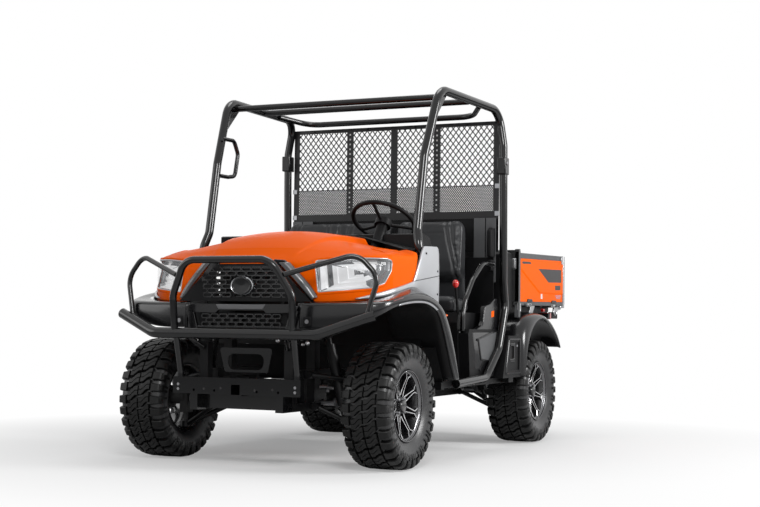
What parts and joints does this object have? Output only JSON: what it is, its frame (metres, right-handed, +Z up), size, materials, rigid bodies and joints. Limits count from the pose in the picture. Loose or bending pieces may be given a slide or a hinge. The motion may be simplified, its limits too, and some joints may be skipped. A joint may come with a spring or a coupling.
{
  "type": "side by side utility vehicle",
  "caption": "Two-row-wide off-road utility vehicle with a brush guard, roll cage with mesh rear screen, bench seating and a tipping load bed.",
  "frame": {"origin": "middle of the vehicle's footprint, on the ground", "axes": "-Y to the front, +X to the driver's side, +Z up"},
  "size_m": [1.61, 3.239, 2.071],
  "materials": {
    "orange_paint": "gloss orange paint",
    "frame_black": "satin black paint",
    "tube_black": "gloss black powder coat",
    "panel_black": "grained black plastic",
    "gloss_black": "moulded dark plastic with a soft shine",
    "silver_paint": "silver metallic",
    "bed_steel": "textured black coating",
    "vinyl": "embossed dark grey vinyl",
    "tyre": "black rubber",
    "alloy": "machined and black",
    "cast_metal": "dark cast metal",
    "steel": "plain steel",
    "chrome_rod": "hard chrome",
    "lamp_glass": "clear lamp lens",
    "lamp_red": "red lamp lens"
  },
  "bodies": {
    "chassis": {"frame": "frame_black", "floor_pan": "panel_black", "engine": "cast_metal", "gearboxes": "cast_metal", "suspension_arms": "frame_black", "coilovers": "frame_black", "drive_shafts": "steel", "rear_hub_carriers": "cast_metal", "roll_cage": "tube_black", "rear_screen": "tube_black", "cab_rear_wall": "panel_black", "seat_base": "panel_black", "seat_cushions": "vinyl", "seat_backs": "vinyl", "dashboard": "panel_black", "steering_column": "panel_black", "controls": "steel", "hand_rails": "tube_black", "front_fascia": "gloss_black", "grille": "panel_black", "front_fenders": "gloss_black", "cowl_sides": "silver_paint", "brush_guard": "tube_black", "bumper_plate": "tube_black", "rear_fenders": "gloss_black", "storage_boxes": "panel_black", "tail_lamps": "lamp_red"},
    "wheel_front_left": {"tyre_front_left": "tyre", "rim_front_left": "alloy"},
    "wheel_front_right": {"tyre_front_right": "tyre", "rim_front_right": "alloy"},
    "wheel_rear_left": {"tyre_rear_left": "tyre", "rim_rear_left": "alloy"},
    "wheel_rear_right": {"tyre_rear_right": "tyre", "rim_rear_right": "alloy"},
    "steering_wheel": {"steering_wheel": "panel_black"},
    "knuckle_left": {"knuckle_left": "cast_metal"},
    "knuckle_right": {"knuckle_right": "cast_metal"},
    "bed": {"bed": "bed_steel"},
    "side_gate_left": {"side_gate_left": "orange_paint"},
    "side_gate_right": {"side_gate_right": "orange_paint"},
    "tailgate": {"tailgate": "bed_steel"},
    "lift_barrel": {"lift_barrel": "frame_black"},
    "lift_rod": {"lift_rod": "chrome_rod"},
    "hood": {"hood": "orange_paint", "headlamps": "lamp_glass"},
    "steering_rack": {"tie_rods": "steel"}
  },
  "joints": [
    {"name": "spin_front_left", "type": "hinge", "parent": "knuckle_left", "child": "wheel_front_left", "pos_m": [0.661, -1.0705, 0.325], "axis": [1, 0, 0], "continuous": true},
    {"name": "spin_front_right", "type": "hinge", "parent": "knuckle_right", "child": "wheel_front_right", "pos_m": [-0.661, -1.0705, 0.325], "axis": [1, 0, 0], "continuous": true},
    {"name": "spin_rear_left", "type": "hinge", "parent": "chassis", "child": "wheel_rear_left", "pos_m": [0.673, 0.9445, 0.325], "axis": [1, 0, 0], "continuous": true},
    {"name": "spin_rear_right", "type": "hinge", "parent": "chassis", "child": "wheel_rear_right", "pos_m": [-0.673, 0.9445, 0.325], "axis": [1, 0, 0], "continuous": true},
    {"name": "steer_left", "type": "hinge", "parent": "chassis", "child": "knuckle_left", "pos_m": [0.565, -1.0705, 0.325], "axis": [0, 0, 1], "range_deg": [-28, 28]},
    {"name": "steer_right", "type": "hinge", "parent": "chassis", "child": "knuckle_right", "pos_m": [-0.565, -1.0705, 0.325], "axis": [0, 0, 1], "range_deg": [-28, 28]},
    {"name": "steering_wheel_turn", "type": "hinge", "parent": "chassis", "child": "steering_wheel", "pos_m": [0.375, -0.5505, 1.311], "axis": [0, 0.5446, 0.8387], "range_deg": [-272, 272]},
    {"name": "rack_slide", "type": "slide", "parent": "chassis", "child": "steering_rack", "axis": [1, 0, 0], "range_m": [-0.0535, 0.0535]},
    {"name": "hood_hinge", "type": "hinge", "parent": "chassis", "child": "hood", "pos_m": [0, -0.6215, 1.24], "axis": [-1, 0, 0], "range_deg": [0, 50]},
    {"name": "bed_tilt", "type": "hinge", "parent": "chassis", "child": "bed", "pos_m": [0, 1.4095, 0.808], "axis": [-1, 0, 0], "range_deg": [0, 44]},
    {"name": "side_gate_left_hinge", "type": "hinge", "parent": "bed", "child": "side_gate_left", "pos_m": [0.729, 1.1295, 0.874], "axis": [0, 1, 0], "range_deg": [0, 90]},
    {"name": "side_gate_right_hinge", "type": "hinge", "parent": "bed", "child": "side_gate_right", "pos_m": [-0.729, 1.1295, 0.874], "axis": [0, -1, 0], "range_deg": [0, 90]},
    {"name": "tailgate_hinge", "type": "hinge", "parent": "bed", "child": "tailgate", "pos_m": [0, 1.6025, 0.874], "axis": [-1, 0, 0], "range_deg": [0, 90]},
    {"name": "lift_barrel_pivot", "type": "hinge", "parent": "chassis", "child": "lift_barrel", "pos_m": [-0.165, 1.1035, 0.4], "axis": [-1, 0, 0], "range_deg": [0, 22.06]},
    {"name": "lift_rod_slide", "type": "slide", "parent": "lift_barrel", "child": "lift_rod", "axis": [0, -0.405, 0.9143], "range_m": [0, 0.2973]}
  ],
  "couplings": [
    {"joint": "steer_right", "follows": "steer_left", "ratio": 1},
    {"joint": "steering_wheel_turn", "follows": "steer_left", "ratio": 9.643},
    {"joint": "rack_slide", "follows": "steer_left", "m_per_rad": -0.1076},
    {"joint": "lift_barrel_pivot", "follows": "bed_tilt", "ratio": 0.50033},
    {"joint": "lift_rod_slide", "follows": "bed_tilt", "m_per_rad": 0.38688}
  ]
}
